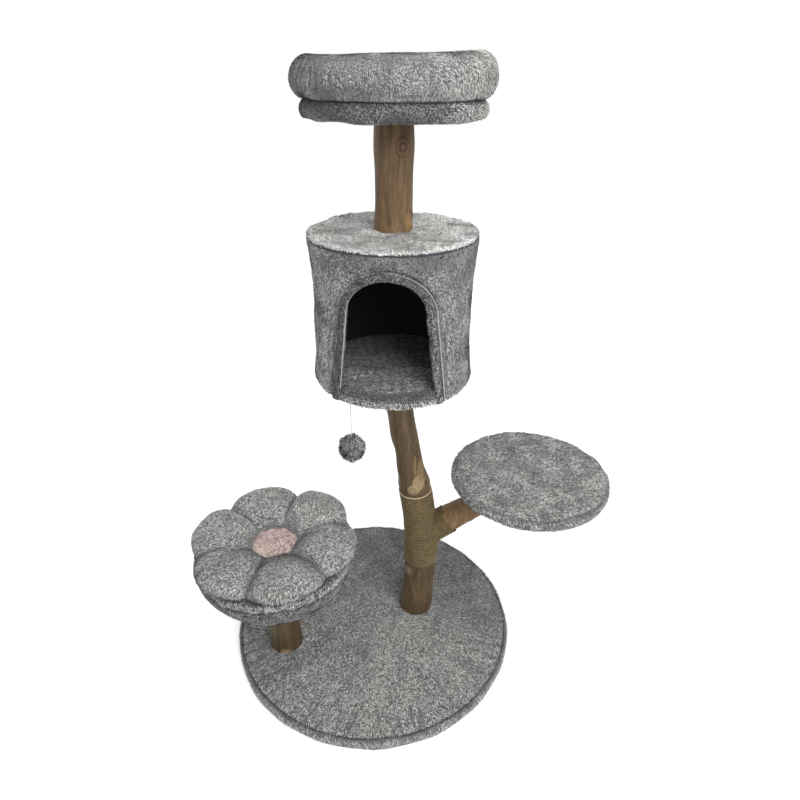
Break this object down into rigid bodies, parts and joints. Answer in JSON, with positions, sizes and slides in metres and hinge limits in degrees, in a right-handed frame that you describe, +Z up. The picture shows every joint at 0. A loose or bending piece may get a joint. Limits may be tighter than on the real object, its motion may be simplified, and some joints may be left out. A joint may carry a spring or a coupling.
{
  "type": "cat tree",
  "caption": "Floor-standing cat tree on forked natural logs: arched plush cabin, round side perch, bolster bed on top, flower cushion, and a hanging pompom over a round base.",
  "frame": {"origin": "centre of the round base's underside, on the floor", "axes": "+Z up; the cabin's door faces -Y; the side perch is on +X"},
  "size_m": [0.8398, 0.61, 1.161],
  "materials": {
    "grey_plush": "short-pile heather plush",
    "pink_plush": "short-pile plush",
    "dark_lining": "thin flannel",
    "felt": "needle felt",
    "twine": "sisal twine",
    "cord": "elastic cord",
    "log": "barked natural log",
    "board": "particle board",
    "tube_wall": "wound fibreboard",
    "steel": "zinc plated"
  },
  "bodies": {
    "tree": {"base_felt": "felt", "base_board": "board", "base_cover": "grey_plush", "trunk": "log", "side_branch": "log", "upper_post": "log", "short_post": "log", "trunk_rope": "twine", "branch_rope": "twine", "perch_board": "board", "perch_cover": "grey_plush", "cabin_floor_board": "board", "cabin_roof_board": "board", "cabin_wall": "tube_wall", "wall_screws": "steel", "cabin_lining": "dark_lining", "ceiling_lining": "dark_lining", "floor_pad": "grey_plush", "cabin_sleeve": "grey_plush", "cabin_top_cover": "grey_plush", "cabin_under_cover": "grey_plush", "door_binding": "grey_plush", "door_sill": "grey_plush", "bed_board": "board", "bed_base_cover": "grey_plush", "bed_bolster": "grey_plush", "flower_board": "board", "flower_tray": "grey_plush", "toy_staple": "steel", "furniture_bolts": "steel", "bolt_washers": "steel", "threaded_inserts": "steel"},
    "toy_link": {"toy_ring": "steel"},
    "toy": {"string_loop": "cord", "toy_string": "cord", "pompom": "grey_plush"},
    "flower": {"flower_cushion": "grey_plush", "flower_heart": "pink_plush"},
    "seat_pad": {"bed_pad": "grey_plush"}
  },
  "joints": [
    {"name": "toy_swing_fore", "type": "hinge", "parent": "tree", "child": "toy_link", "pos_m": [-0.02977, -0.06453, 0.633], "axis": [1, 0, 0], "range_deg": [-60, 35]},
    {"name": "toy_swing_side", "type": "hinge", "parent": "toy_link", "child": "toy", "pos_m": [-0.02977, -0.06453, 0.62785], "axis": [0, 1, 0], "range_deg": [-35, 60]},
    {"name": "flower_lift", "type": "slide", "parent": "tree", "child": "flower", "axis": [0, 0, 1], "range_m": [0, 0.12]},
    {"name": "pad_lift", "type": "slide", "parent": "tree", "child": "seat_pad", "axis": [0, 0, 1], "range_m": [0, 0.12]}
  ]
}
